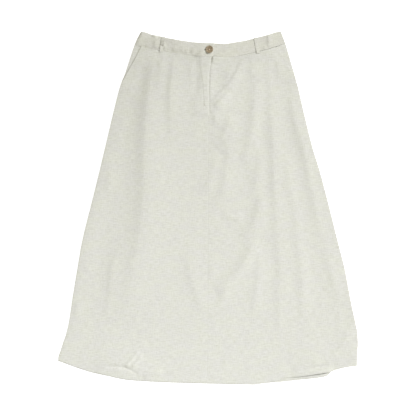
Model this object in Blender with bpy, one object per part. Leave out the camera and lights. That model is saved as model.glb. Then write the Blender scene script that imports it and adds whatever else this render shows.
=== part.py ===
"""A long A-line skirt in linen cloth, buttoned up and laid flat on its back.

The cloth lies on the plane z = 0, with its waist towards +Y and its front upwards. The origin is the
middle of its outline, on that plane. Left and right are the wearer's, so the right side is at -X.

Lengths are in millimetres, and place() turns them into metres. A point of the cloth is given by how
far it lies across from the centre line, positive to the wearer's left, and how far down from the
waist's corners.
"""
import math
from bisect import bisect_right
from collections import namedtuple

import bmesh
import bpy

MM = 0.001

# Driving dimensions, in millimetres.
LENGTH = 952.0  # from the waist's corners to the lowest point of the hem
CLOTH = 1.4  # one layer of cloth
BAND = 1.8  # a waistband, folded and pressed
GAP = 0.3  # between pieces that touch
FLY_END = 220.0  # how far down the front opening ends
UNDERLAP = 13.0  # how far the left front runs under the right one
RIGHT_POCKET_END = 139.0  # how far down a pocket's opening ends
LEFT_POCKET_END = 118.0
POCKET_OVERLAP = 15.0  # how far a pocket piece runs in under the front
LOOP_WIDTH = 9.5
LOOP_THICKNESS = 1.6
LOOP_ARCH = 0.9  # how far a loop's middle stands up
BUTTON_RADIUS = 10.2
BUTTON_THICKNESS = 3.6
BUTTON_EDGE = 0.9  # how far its edges are rounded
BUTTON_RIM = 1.8
BUTTON_DISH = 0.8  # how far its face is sunk inside the rim
BUTTON_HOLE_RADIUS = 1.0
BUTTON_HOLE_OFFSET = 1.8  # of a hole from the middle, both ways
BUTTON_ACROSS = 3.8
BUTTON_DOWN = 48.3

# How the cloth stands up from the back panel.
ROLL = 12.0  # width of the side that rolls down to its seam
ROLL_RISE = 1.6
POCKET_ROLL_RISE = 1.2
BAND_ROLL_RISE = 0.9
ROLL_SPREAD = 60.0  # how far in from the side that rise dies away
SETTLE = 70.0  # how far below the waist seam the folds reach their height
RAMP = 18.0  # how far a layer needs to come down from what lies under it
CREST = 6.0  # how round a fold's crest is

# The skirt's two sides.
Side = namedtuple("Side", "down right left")
SIDES = [
    Side(0, -180.5, 196.5),
    Side(35, -197.5, 209.5),
    Side(83, -214.0, 223.5),
    Side(116, -224.5, 233.0),
    Side(134, -232.0, 238.0),
    Side(148, -237.0, 242.0),
    Side(213, -254.0, 257.0),
    Side(310, -277.0, 281.0),
    Side(375, -292.5, 301.0),
    Side(440, -308.5, 318.5),
    Side(569, -340.0, 351.0),
    Side(634, -351.5, 367.5),
    Side(731, -367.5, 386.0),
    Side(780, -375.0, 396.5),
    Side(812, -382.0, 403.0),
    Side(845, -393.0, 404.5),
    Side(861, -398.0, 402.8),
    Side(877, -403.5, 402.3),
    Side(902, -405.0, 402.0),
]

# The waistband's upper edge and the seam under it.
Waist = namedtuple("Waist", "across top seam")
WAIST = [
    Waist(-198, 2.0, 35.5),
    Waist(-181, 0.5, 40.0),
    Waist(-171, 1.6, 42.5),
    Waist(-150, 9.0, 47.5),
    Waist(-128, 13.5, 52.0),
    Waist(-107, 18.5, 55.5),
    Waist(-64, 26.5, 62.5),
    Waist(-20, 31.3, 67.8),
    Waist(14, 32.4, 68.2),
    Waist(45, 33.5, 69.4),
    Waist(66, 30.7, 69.0),
    Waist(99, 25.0, 62.5),
    Waist(131, 16.8, 55.0),
    Waist(163, 8.5, 47.0),
    Waist(185, 1.5, 40.0),
    Waist(196, 0.0, 36.3),
    Waist(210, 0.0, 31.5),
]

# The hems of the front and of the back, which peeps out below the front near the left side.
Hem = namedtuple("Hem", "across front back")
HEM = [
    Hem(-405, 888.0, 885.0),
    Hem(-350, 908.0, 906.0),
    Hem(-317, 918.5, 916.5),
    Hem(-269, 929.0, 927.0),
    Hem(-220, 939.0, 937.0),
    Hem(-172, 943.0, 941.0),
    Hem(-74, 947.5, 945.5),
    Hem(23, 950.0, 948.0),
    Hem(88, 951.5, 949.5),
    Hem(122, 952.0, 950.0),
    Hem(152, 947.5, 948.0),
    Hem(185, 940.5, 945.5),
    Hem(208, 933.5, 943.5),
    Hem(250, 929.5, 938.7),
    Hem(298, 922.5, 933.0),
    Hem(321, 918.9, 928.0),
    Hem(329, 917.8, 921.0),
    Hem(334, 916.0, 911.0),
    Hem(347, 911.3, 907.0),
    Hem(380, 903.7, 900.0),
    Hem(402, 901.3, 897.0),
]

# The slanted pocket edges, from the waist seam to the sides.
Slash = namedtuple("Slash", "down right left")
SLASHES = [
    Slash(40, -180.0, 180.0),
    Slash(57, -188.5, 195.0),
    Slash(82, -201.5, 211.5),
    Slash(95, -209.0, 216.0),
    Slash(118, -222.0, 233.5),
    Slash(139, -233.5, 239.5),
]

# The right front's centre edge: the fly's lap, and below it the centre seam.
Centre = namedtuple("Centre", "down across")
CENTRE = [
    Centre(60, 11.5),
    Centre(98, 6.8),
    Centre(155, 3.8),
    Centre(220, 3.2),
    Centre(226, 1.3),
    Centre(240, 1.2),
    Centre(952, -2.7),
]

# The largest folds. Each is a crest from one end to the other, which bows out to the wearer's left
# by its bow. It falls away within about its right width to the right and its left width to the left.
Fold = namedtuple("Fold", "across down to_across to_down bow right_width left_width rise")
FOLDS = [
    Fold(-151, 76, -216, 690, 11, 17, 38, 6.0),
    Fold(-92, 71, -95, 320, 0, 9, 28, 1.6),
    Fold(-232, 522, -265, 740, 4, 12, 26, 2.2),
    Fold(-46, 549, -11, 760, -14, 11, 24, 2.0),
    Fold(88, 100, 19, 205, 0, 9, 30, 2.4),
    Fold(58, 230, 20, 316, 9, 9, 22, 2.0),
    Fold(57, 316, 18, 456, 8, 9, 20, 1.8),
    Fold(132, 122, 103, 345, 5, 9, 20, 2.6),
    Fold(138, 316, 128, 448, 3, 9, 20, 2.2),
    Fold(141, 458, 102, 566, 10, 10, 24, 3.4),
    Fold(126, 570, 74, 680, -7, 11, 26, 3.4),
    Fold(170, 184, 195, 795, -4, 10, 22, 2.4),
    Fold(221, 346, 255, 768, 0, 10, 22, 2.0),
    Fold(251, 258, 305, 606, -2, 12, 28, 2.6),
    Fold(324, 592, 355, 745, 3, 11, 24, 2.2),
    Fold(214, 936, 334, 912, 0, 16, 10, 2.2),
]

# The belt loops, from their upper end to their lower one.
Loop = namedtuple("Loop", "name across down to_across to_down")
LOOPS = [
    Loop("belt_loop_right", -124.0, 12.5, -125.0, 55.6),
    Loop("belt_loop_left", 127.0, 16.6, 136.0, 59.0),
]


def tangent(rows, i):
    """The slope of a smooth curve at its row i, level where the curve turns back."""
    slopes = [
        (end[1] - start[1]) / (end[0] - start[0])
        for start, end in zip(rows[max(i - 1, 0):i + 1], rows[max(i, 1):i + 2])
    ]
    if len(slopes) == 1:
        return slopes[0]
    if slopes[0] * slopes[1] <= 0:
        return 0.0
    return 2 * slopes[0] * slopes[1] / (slopes[0] + slopes[1])


def curve(rows, at):
    """Reads a smooth curve through (place, value) rows, which never swings past them."""
    i = min(max(bisect_right([row[0] for row in rows], at) - 1, 0), len(rows) - 2)
    start, end = rows[i], rows[i + 1]
    step = end[0] - start[0]
    t = min(max((at - start[0]) / step, 0.0), 1.0)
    return (
        (1 + 2 * t) * (1 - t) ** 2 * start[1]
        + t * (1 - t) ** 2 * step * tangent(rows, i)
        + t * t * (3 - 2 * t) * end[1]
        - t * t * (1 - t) * step * tangent(rows, i + 1)
    )


def column(table, key, name):
    """Two columns of a table, as rows for curve()."""
    return [(getattr(row, key), getattr(row, name)) for row in table]


RIGHT_SIDE = column(SIDES, "down", "right")
LEFT_SIDE = column(SIDES, "down", "left")
WAIST_TOP = column(WAIST, "across", "top")
WAIST_SEAM = column(WAIST, "across", "seam")
FRONT_HEM = column(HEM, "across", "front")
BACK_HEM = column(HEM, "across", "back")
RIGHT_SLASH = column(SLASHES, "down", "right")
LEFT_SLASH = column(SLASHES, "down", "left")
CENTRE_EDGE = column(CENTRE, "down", "across")


def ease(share):
    """0 up to a share of 0, 1 from a share of 1, and a smooth rise between."""
    share = min(max(share, 0.0), 1.0)
    return share * share * (3 - 2 * share)


def from_side(across, down):
    """How far in from the nearer side a point lies."""
    return min(across - curve(RIGHT_SIDE, down), curve(LEFT_SIDE, down) - across)


def rolled(across, down):
    """How the cloth stands up beside its side seams: 0 at a seam, 1 at the roll, less further in."""
    inset = from_side(across, down)
    share = min(max(inset / ROLL, 0.0), 1.0)
    return math.sin(math.pi / 2 * share) * math.exp(-max(inset - ROLL, 0.0) / ROLL_SPREAD)


def folded(across, down):
    """How high the folds stand at a point."""
    height = 0.0
    for fold in FOLDS:
        run = fold.to_across - fold.across
        fall = fold.to_down - fold.down
        length = math.hypot(run, fall)
        along = ((across - fold.across) * run + (down - fold.down) * fall) / length ** 2
        if not 0 < along < 1:
            continue
        off = ((across - fold.across) * fall - (down - fold.down) * run) / length
        off -= fold.bow * 4 * along * (1 - along)
        width = fold.left_width if off > 0 else fold.right_width
        taper = ease(3 * along) * ease(3 * (1 - along))
        height += fold.rise * taper * math.exp((CREST - math.hypot(off, CREST)) / width)
    return height


def over_pocket(across, down):
    """How much a front rises where it lies on a pocket piece."""
    share = 0.0
    for slash, end, inwards in ((RIGHT_SLASH, RIGHT_POCKET_END, 1), (LEFT_SLASH, LEFT_POCKET_END, -1)):
        inside = (across - curve(slash, min(down, end))) * inwards - POCKET_OVERLAP - GAP
        below = down - end - GAP
        share = max(share, (1 - ease(inside / RAMP)) * (1 - ease(below / RAMP)))
    return (CLOTH + GAP) * share


def lapped(across, down, ramp):
    """The share of a layer by which the right side rises onto what runs in under it."""
    inside = -UNDERLAP - 2 * GAP - across
    below = down - FLY_END - RAMP / 2
    return (1 - ease(inside / ramp)) * (1 - ease(below / RAMP))


def flat_under(across, down):
    return 0.0


def pocket_under(across, down):
    return CLOTH + GAP + POCKET_ROLL_RISE * rolled(across, down)


def front_left_under(across, down):
    settled = ease((down - curve(WAIST_SEAM, across)) / SETTLE) * ease(from_side(across, down) / ROLL)
    raised = ROLL_RISE * rolled(across, down) + folded(across, down) * settled
    return CLOTH + GAP + raised + over_pocket(across, down)


def front_right_under(across, down):
    return front_left_under(across, down) + (CLOTH + GAP) * lapped(across, down, RAMP)


def band_left_under(across, down):
    return BAND + GAP + BAND_ROLL_RISE * rolled(across, down)


def band_right_under(across, down):
    return band_left_under(across, down) + (BAND + GAP) * lapped(across, down, 2 * RAMP)


def between(start, end, share):
    return start + (end - start) * share


def shares(*stretches):
    """Shares from 0 to 1, in stretches given as the share where each ends and its step count."""
    found = [0.0]
    for end, steps in stretches:
        start = found[-1]
        found += [between(start, end, (i + 1) / steps) for i in range(steps)]
    return found


def edge_across(rows, start, end, offset=0.0):
    """An edge that runs across, along a curve that says how far down it is."""
    def point(share):
        across = between(start, end, share)
        return across, curve(rows, across) + offset
    return point


def edge_down(rows, start, end, offset=0.0):
    """An edge that runs down, along a curve that says how far across it is."""
    def point(share):
        down = between(start, end, share)
        return curve(rows, down) + offset, down
    return point


def straight_edge(start, end):
    """A straight edge between two points."""
    def point(share):
        return between(start[0], end[0], share), between(start[1], end[1], share)
    return point


def patch(top, bottom, first, last, columns, rows):
    """A grid of points between four edges, each of which gives its point at a share of its run."""
    grid = []
    for v in rows:
        line = []
        for u in columns:
            sides = [between(a, b, u) for a, b in zip(first(v), last(v))]
            ends = [between(a, b, v) for a, b in zip(top(u), bottom(u))]
            upper = [between(a, b, u) for a, b in zip(top(0.0), top(1.0))]
            lower = [between(a, b, u) for a, b in zip(bottom(0.0), bottom(1.0))]
            line.append([s + e - between(a, b, v) for s, e, a, b in zip(sides, ends, upper, lower)])
        grid.append(line)
    return grid


def place(across, down, height):
    return across * MM, (LENGTH / 2 - down) * MM, height * MM


def finish(name, colour, roughness):
    """A material in one colour, with no metal in it."""
    material = bpy.data.materials.new(name)
    material.use_nodes = True
    shader = material.node_tree.nodes["Principled BSDF"]
    shader.inputs["Base Color"].default_value = (*colour, 1.0)
    shader.inputs["Roughness"].default_value = roughness
    shader.inputs["Metallic"].default_value = 0.0
    return material


def add_object(name, shape, material):
    """Makes an object of a bmesh, shaded smooth up to its sharp edges."""
    bmesh.ops.recalc_face_normals(shape, faces=shape.faces)
    mesh = bpy.data.meshes.new(name)
    shape.to_mesh(mesh)
    shape.free()
    mesh.materials.append(material)
    mesh.shade_smooth()
    mesh.set_sharp_from_angle(angle=math.radians(40))
    thing = bpy.data.objects.new(name, mesh)
    bpy.context.collection.objects.link(thing)
    return thing


def add_wall(name, grid, under, thickness, material):
    """A closed wall of cloth on a grid of points, up from the height of its under side."""
    shape = bmesh.new()
    lower, upper = [
        [
            [shape.verts.new(place(across, down, under(across, down) + lift)) for across, down in line]
            for line in grid
        ]
        for lift in (0.0, thickness)
    ]
    last_row = len(grid) - 1
    last_column = len(grid[0]) - 1
    for i in range(last_row):
        for j in range(last_column):
            for layer in (lower, upper):
                shape.faces.new((layer[i][j], layer[i + 1][j], layer[i + 1][j + 1], layer[i][j + 1]))
    rim = [(0, j) for j in range(last_column)]
    rim += [(i, last_column) for i in range(last_row)]
    rim += [(last_row, j) for j in range(last_column, 0, -1)]
    rim += [(i, 0) for i in range(last_row, 0, -1)]
    for (i, j), (k, m) in zip(rim, rim[1:] + rim[:1]):
        shape.faces.new((lower[i][j], lower[k][m], upper[k][m], upper[i][j]))
    return add_object(name, shape, material)


def make_back(linen, linen_band):
    """The back panel and its waistband lie flat on the surface."""
    right, left = -198.0, 210.0
    hem_right, hem_left = -404.0, 401.5
    columns = shares((0.5, 9), (0.88, 8), (0.93, 6), (1.0, 4))
    grid = patch(
        edge_across(WAIST_SEAM, right, left, GAP),
        edge_across(BACK_HEM, hem_right, hem_left),
        edge_down(RIGHT_SIDE, curve(WAIST_SEAM, right) + GAP, curve(BACK_HEM, hem_right)),
        edge_down(LEFT_SIDE, curve(WAIST_SEAM, left) + GAP, curve(BACK_HEM, hem_left)),
        columns,
        shares((1.0, 18)),
    )
    add_wall("back_panel", grid, flat_under, CLOTH, linen)
    top_right, top_left = -181.0, 196.5
    below_top = 1.5
    grid = patch(
        edge_across(WAIST_TOP, top_right, top_left, below_top),
        edge_across(WAIST_SEAM, right, left),
        edge_down(RIGHT_SIDE, curve(WAIST_TOP, top_right) + below_top, curve(WAIST_SEAM, right)),
        edge_down(LEFT_SIDE, curve(WAIST_TOP, top_left) + below_top, curve(WAIST_SEAM, left)),
        columns,
        shares((1.0, 2)),
    )
    add_wall("waistband_back", grid, flat_under, BAND, linen_band)


def make_pocket_pieces(linen):
    """The side-front pieces show outside the slanted pocket edges and run in under the fronts."""
    pieces = (
        ("pocket_piece_right", RIGHT_SIDE, RIGHT_SLASH, -197.5, -180.0, RIGHT_POCKET_END, 1),
        ("pocket_piece_left", LEFT_SIDE, LEFT_SLASH, 209.5, 180.0, LEFT_POCKET_END, -1),
    )
    for name, side, slash, side_across, slash_across, end, inwards in pieces:
        overlap = POCKET_OVERLAP * inwards
        inner_across = slash_across + overlap
        outer_top = curve(WAIST_SEAM, side_across) + GAP
        inner_top = curve(WAIST_SEAM, inner_across) + GAP
        grid = patch(
            edge_across(WAIST_SEAM, side_across, inner_across, GAP),
            straight_edge((curve(side, end), end), (curve(slash, end) + overlap, end)),
            edge_down(side, outer_top, end),
            edge_down(slash, inner_top, end, overlap),
            shares((0.12, 1), (0.3, 1), (1.0, 3)),
            shares((1.0, 8)),
        )
        add_wall(name, grid, pocket_under, CLOTH, linen)


def make_fronts(linen):
    """The two fronts meet in the centre seam. Above it the right one laps over the left one."""
    columns = shares((0.012, 1), (0.036, 1), (1.0, 28))
    right_edge = RIGHT_SLASH + [row for row in RIGHT_SIDE if row[0] > RIGHT_POCKET_END]
    left_edge = [row for row in LEFT_SLASH if row[0] <= LEFT_POCKET_END]
    left_edge += [row for row in LEFT_SIDE if row[0] > LEFT_POCKET_END]
    seam_down = FLY_END + 6
    underlap_edge = [(CENTRE[0].down, -UNDERLAP), (FLY_END - 4, -UNDERLAP)]
    underlap_edge += [(down, across + GAP) for down, across in CENTRE_EDGE if down >= seam_down]
    pieces = (
        ("front_right", right_edge, CENTRE_EDGE, -180.0, -404.5, RIGHT_POCKET_END, front_right_under),
        ("front_left", left_edge, underlap_edge, 180.0, 402.0, LEFT_POCKET_END, front_left_under),
    )
    for name, side, centre, top_across, hem_across, pocket_end, under in pieces:
        top_down = curve(WAIST_SEAM, top_across) + GAP
        hem_down = curve(FRONT_HEM, hem_across)
        top_centre = curve(centre, curve(WAIST_SEAM, 0.0))
        hem_centre = curve(centre, LENGTH)
        centre_top_down = curve(WAIST_SEAM, top_centre) + GAP
        centre_hem_down = curve(FRONT_HEM, hem_centre)
        pocket_share = (pocket_end - top_down) / (hem_down - top_down)
        fly_share = (seam_down - centre_top_down) / (centre_hem_down - centre_top_down)
        grid = patch(
            edge_across(WAIST_SEAM, top_across, top_centre, GAP),
            edge_across(FRONT_HEM, hem_across, hem_centre),
            edge_down(side, top_down, hem_down),
            edge_down(centre, centre_top_down, centre_hem_down),
            columns,
            shares((pocket_share, 8), (fly_share, 4), (1.0, 24)),
        )
        add_wall(name, grid, under, CLOTH, linen)


def make_front_bands(linen_band):
    """The front waistband is in two pieces, and the right one's end laps over the left one's."""
    pieces = (
        ("waistband_right", RIGHT_SIDE, -180.5, -197.5, 16.7, 10.5, band_right_under),
        ("waistband_left", LEFT_SIDE, 196.5, 209.5, -UNDERLAP, -UNDERLAP, band_left_under),
    )
    for name, side, top_across, seam_across, end_top, end_seam, under in pieces:
        top_down = curve(WAIST_TOP, top_across)
        seam_down = curve(WAIST_SEAM, seam_across)
        grid = patch(
            edge_across(WAIST_TOP, top_across, end_top),
            edge_across(WAIST_SEAM, seam_across, end_seam),
            edge_down(side, top_down, seam_down),
            straight_edge((end_top, curve(WAIST_TOP, end_top)), (end_seam, curve(WAIST_SEAM, end_seam))),
            shares((0.015, 1), (0.045, 1), (1.0, 20)),
            shares((1.0, 3)),
        )
        add_wall(name, grid, under, BAND, linen_band)


def make_loops(linen_band):
    """Each belt loop lies on the band, is sewn down at both ends and stands up in its middle."""
    for loop in LOOPS:
        middle_down = between(loop.down, loop.to_down, 0.5)
        half_length = (loop.to_down - loop.down) / 2

        def loop_under(across, down):
            band_over = band_left_under(across, down) + BAND
            front_over = front_left_under(across, down) + CLOTH
            arch = LOOP_ARCH * max(1 - ((down - middle_down) / half_length) ** 2, 0.0)
            return max(band_over, front_over) + GAP + arch

        half_width = LOOP_WIDTH / 2
        grid = patch(
            straight_edge((loop.across - half_width, loop.down), (loop.across + half_width, loop.down)),
            straight_edge(
                (loop.to_across - half_width, loop.to_down), (loop.to_across + half_width, loop.to_down)
            ),
            straight_edge(
                (loop.across - half_width, loop.down), (loop.to_across - half_width, loop.to_down)
            ),
            straight_edge(
                (loop.across + half_width, loop.down), (loop.to_across + half_width, loop.to_down)
            ),
            shares((1.0, 2)),
            shares((1.0, 8)),
        )
        add_wall(loop.name, grid, loop_under, LOOP_THICKNESS, linen_band)


def make_button(horn):
    """A round horn button, with rounded edges, a sunk face inside its rim and four holes."""
    shape = bmesh.new()
    bmesh.ops.create_cone(
        shape,
        cap_ends=True,
        segments=36,
        radius1=BUTTON_RADIUS * MM,
        radius2=BUTTON_RADIUS * MM,
        depth=BUTTON_THICKNESS * MM,
    )
    round_edges = [edge for edge in shape.edges if edge.verts[0].co.z * edge.verts[1].co.z > 0]
    bmesh.ops.bevel(
        shape, geom=round_edges, offset=BUTTON_EDGE * MM, segments=2, profile=0.5, affect="EDGES"
    )
    face = [max(shape.faces, key=lambda each: each.calc_center_median().z)]
    for width, depth in ((BUTTON_RIM, 0.0), (BUTTON_DISH, -BUTTON_DISH)):
        bmesh.ops.inset_individual(shape, faces=face, thickness=width * MM, depth=depth * MM)
    button = add_object("button", shape, horn)

    holes = bmesh.new()
    for across in (-BUTTON_HOLE_OFFSET, BUTTON_HOLE_OFFSET):
        for down in (-BUTTON_HOLE_OFFSET, BUTTON_HOLE_OFFSET):
            made = bmesh.ops.create_cone(
                holes,
                cap_ends=True,
                segments=10,
                radius1=BUTTON_HOLE_RADIUS * MM,
                radius2=BUTTON_HOLE_RADIUS * MM,
                depth=2 * BUTTON_THICKNESS * MM,
            )
            bmesh.ops.translate(holes, verts=made["verts"], vec=(across * MM, down * MM, 0.0))
    cutter = add_object("button_holes", holes, horn)
    cutter.display_type = "WIRE"
    cutter.hide_render = True
    cutter.parent = button
    cut = button.modifiers.new("holes", "BOOLEAN")
    cut.operation = "DIFFERENCE"
    cut.object = cutter
    band_over = band_right_under(BUTTON_ACROSS, BUTTON_DOWN) + BAND
    button.location = place(BUTTON_ACROSS, BUTTON_DOWN, band_over + GAP + BUTTON_THICKNESS / 2)


for old in list(bpy.data.objects):
    bpy.data.objects.remove(old)

LINEN = finish("linen", (0.76, 0.75, 0.68), 0.9)
LINEN_BAND = finish("linen_band", (0.74, 0.73, 0.66), 0.9)
HORN = finish("horn", (0.36, 0.25, 0.15), 0.35)
make_back(LINEN, LINEN_BAND)
make_pocket_pieces(LINEN)
make_fronts(LINEN)
make_front_bands(LINEN_BAND)
make_loops(LINEN_BAND)
make_button(HORN)
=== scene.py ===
"""The looks of a long A-line linen skirt, buttoned up and laid flat on its back, front upwards.

The sections follow the skirt as it is put together, from the back to the button. Lengths are in
millimetres, and place() turns them into metres. A point of the cloth is given by how far it lies
across from the centre line, positive to the wearer's left, and how far down from the waist's corners.
"""

import math
from collections import namedtuple

import bpy
import numpy as np
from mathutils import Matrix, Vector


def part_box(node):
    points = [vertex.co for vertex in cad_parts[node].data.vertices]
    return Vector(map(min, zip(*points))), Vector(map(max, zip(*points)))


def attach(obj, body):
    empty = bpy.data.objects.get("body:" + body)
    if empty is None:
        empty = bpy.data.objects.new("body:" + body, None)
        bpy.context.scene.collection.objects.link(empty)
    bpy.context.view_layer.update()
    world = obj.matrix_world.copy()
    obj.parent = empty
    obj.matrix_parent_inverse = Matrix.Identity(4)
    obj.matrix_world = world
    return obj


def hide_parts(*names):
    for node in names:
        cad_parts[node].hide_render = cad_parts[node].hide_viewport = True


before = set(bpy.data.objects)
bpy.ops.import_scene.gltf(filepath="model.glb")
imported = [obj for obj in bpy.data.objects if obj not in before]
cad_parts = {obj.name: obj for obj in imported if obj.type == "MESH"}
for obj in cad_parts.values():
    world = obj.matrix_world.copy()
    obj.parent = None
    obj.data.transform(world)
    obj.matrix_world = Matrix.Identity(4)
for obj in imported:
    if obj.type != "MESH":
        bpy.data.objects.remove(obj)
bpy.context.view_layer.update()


# The back panel: one layer of natural linen, cut in an A-line and turned up at its hem.
# It lies flat on the surface, and shows only below the front's hem near the left side.
MM = 0.001
TOP_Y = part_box("waistband_right")[1].y
CLOTH = 1.4  # how thick the cloth is
GAP = 0.3  # between two layers that lie on each other
EDGE = 1.0  # how far in from its edge the cloth reaches its full thickness
EDGE_SHARE = 0.78  # the thickness left at the very edge
FLUSH_SHARE = 0.86  # the same where the next piece is flush with it
SEAM_ENDS = (-198.0, 210.0)  # how far across the waist seam's ends are
HEM_ENDS = (-404.0, 401.5)
BACK_STEP = 9.0  # from one point of its mesh to the next
BACK_HEM_RUN = (12.0, 0.8)  # how long the finer run above the hem is, and its step
SHARP = math.radians(50)  # an edge that turns by more isn't smoothed over

# The outline: how far across the two sides are, at some distances down.
Side = namedtuple("Side", "down right left")
SIDES = [
    Side(0, -180.5, 196.5),
    Side(35, -197.5, 209.5),
    Side(83, -214.0, 223.5),
    Side(116, -224.5, 233.0),
    Side(134, -232.0, 238.0),
    Side(148, -237.0, 242.0),
    Side(213, -254.0, 257.0),
    Side(310, -277.0, 281.0),
    Side(375, -292.5, 301.0),
    Side(440, -308.5, 318.5),
    Side(569, -340.0, 351.0),
    Side(634, -351.5, 367.5),
    Side(731, -367.5, 386.0),
    Side(780, -375.0, 396.5),
    Side(812, -382.0, 403.0),
    Side(845, -393.0, 404.5),
    Side(861, -398.0, 402.8),
    Side(877, -403.5, 402.3),
    Side(902, -405.0, 402.0),
]

# How far down the top of the waistband and the waist seam are, at some distances across.
Waist = namedtuple("Waist", "across top seam")
WAIST = [
    Waist(-198, 2.0, 35.5),
    Waist(-181, 0.5, 40.0),
    Waist(-171, 1.6, 42.5),
    Waist(-150, 9.0, 47.5),
    Waist(-128, 13.5, 52.0),
    Waist(-107, 18.5, 55.5),
    Waist(-64, 26.5, 62.5),
    Waist(-20, 31.3, 67.8),
    Waist(14, 32.4, 68.2),
    Waist(45, 33.5, 69.4),
    Waist(66, 30.7, 69.0),
    Waist(99, 25.0, 62.5),
    Waist(131, 16.8, 55.0),
    Waist(163, 8.5, 47.0),
    Waist(185, 1.5, 40.0),
    Waist(196, 0.0, 36.3),
    Waist(210, 0.0, 31.5),
]

# How far down the hems of the front and the back are, at some distances across.
Hem = namedtuple("Hem", "across front back")
HEM = [
    Hem(-405, 888.0, 885.0),
    Hem(-350, 908.0, 906.0),
    Hem(-317, 918.5, 916.5),
    Hem(-269, 929.0, 927.0),
    Hem(-220, 939.0, 937.0),
    Hem(-172, 943.0, 941.0),
    Hem(-74, 947.5, 945.5),
    Hem(23, 950.0, 948.0),
    Hem(88, 951.5, 949.5),
    Hem(122, 952.0, 950.0),
    Hem(152, 947.5, 948.0),
    Hem(185, 940.5, 945.5),
    Hem(208, 933.5, 943.5),
    Hem(250, 929.5, 938.7),
    Hem(298, 922.5, 933.0),
    Hem(321, 918.9, 928.0),
    Hem(329, 917.8, 921.0),
    Hem(334, 916.0, 911.0),
    Hem(347, 911.3, 907.0),
    Hem(380, 903.7, 900.0),
    Hem(402, 901.3, 897.0),
]


def column(table, key, name):
    """Two columns of a table, as rows for curve()."""
    return [(getattr(row, key), getattr(row, name)) for row in table]


def curve(rows, at):
    """Reads a smooth curve through (place, value) rows, which never swings past them."""
    places, values = np.array(rows, float).T
    steps = np.diff(places)
    slopes = np.diff(values) / steps
    turns = slopes[:-1] * slopes[1:] <= 0
    sums = np.where(turns, 1.0, slopes[:-1] + slopes[1:])
    inner = np.where(turns, 0.0, 2 * slopes[:-1] * slopes[1:] / sums)
    tangents = np.concatenate(([slopes[0]], inner, [slopes[-1]]))
    i = np.clip(np.searchsorted(places, at, side="right") - 1, 0, len(steps) - 1)
    t = np.clip((at - places[i]) / steps[i], 0, 1)
    return (
        (1 + 2 * t) * (1 - t) ** 2 * values[i]
        + t * (1 - t) ** 2 * steps[i] * tangents[i]
        + t * t * (3 - 2 * t) * values[i + 1]
        - t * t * (1 - t) * steps[i] * tangents[i + 1]
    )


RIGHT_SIDE = column(SIDES, "down", "right")
LEFT_SIDE = column(SIDES, "down", "left")
WAIST_TOP = column(WAIST, "across", "top")
WAIST_SEAM = column(WAIST, "across", "seam")
FRONT_HEM = column(HEM, "across", "front")
BACK_HEM = column(HEM, "across", "back")


def edge_across(rows, start, end, offset=0.0):
    """An edge that runs across, along a curve that says how far down it is."""
    def points(share):
        across = start + (end - start) * share
        return np.stack([across, curve(rows, across) + offset], axis=-1)
    return points


def edge_down(rows, start, end, offset=0.0):
    """An edge that runs down, along a curve that says how far across it is."""
    def points(share):
        down = start + (end - start) * share
        return np.stack([curve(rows, down) + offset, down], axis=-1)
    return points


def straight_edge(start, end):
    """A straight edge between two points."""
    def points(share):
        return np.array(start) + np.multiply.outer(share, np.subtract(end, start))
    return points


def shares(length, step):
    """Shares of a run of some length, one step apart, with a short step at each end for its edge."""
    inner = np.linspace(EDGE / length, 1 - EDGE / length, max(round(length / step), 2) + 1)
    return np.concatenate(([0.0], inner, [1.0]))


def patch(top, bottom, first, last, step, fine=None):
    """A grid of points between four edges, with a row of points for each step down. The last rows
    may be finer: how long a run, and its step."""
    width = np.linalg.norm(bottom(1.0) - bottom(0.0))
    height = np.linalg.norm(last(1.0) - last(0.0))
    u = shares(width, step)
    v = shares(height, step)
    if fine is not None:
        run, fine_step = fine
        coarse = v[v < 1 - run / height]
        v = np.concatenate((coarse, 1 - run / height + shares(run, fine_step)[:-1] * run / height, [1.0]))
    across, along = u[None, :, None], v[:, None, None]
    sides = first(v)[:, None] * (1 - across) + last(v)[:, None] * across
    ends = top(u)[None] * (1 - along) + bottom(u)[None] * along
    upper = top(0.0) * (1 - across) + top(1.0) * across
    lower = bottom(0.0) * (1 - across) + bottom(1.0) * across
    grid = sides + ends - upper * (1 - along) - lower * along
    return grid[:, ::-1] if grid[0, 0, 0] > grid[0, -1, 0] else grid


def place(across, down, height):
    """Where points of the skirt lie in the scene, in metres."""
    return np.stack([across * MM, TOP_Y - down * MM, height * MM], axis=-1)


def dress(piece, material, slot, *nodes):
    """Gives a piece its material, and puts it in the place of its nodes."""
    piece.data.materials.clear()
    piece.data.materials.append(material)
    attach(piece, "root")
    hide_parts(*nodes)


def add_mesh(name, points, faces, grain):
    """An object of a mesh shaded smooth, whose weave follows the grain: a place on the cut cloth."""
    mesh = bpy.data.meshes.new(name)
    mesh.from_pydata(points.tolist(), [], faces)
    corners = np.empty(len(mesh.loops), np.int32)
    mesh.loops.foreach_get("vertex_index", corners)
    mesh.uv_layers.new(name="grain").data.foreach_set("uv", (grain[corners] * MM).ravel())
    mesh.shade_smooth()
    mesh.set_sharp_from_angle(angle=SHARP)
    thing = bpy.data.objects.new(name, mesh)
    bpy.context.scene.collection.objects.link(thing)
    return thing


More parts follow.
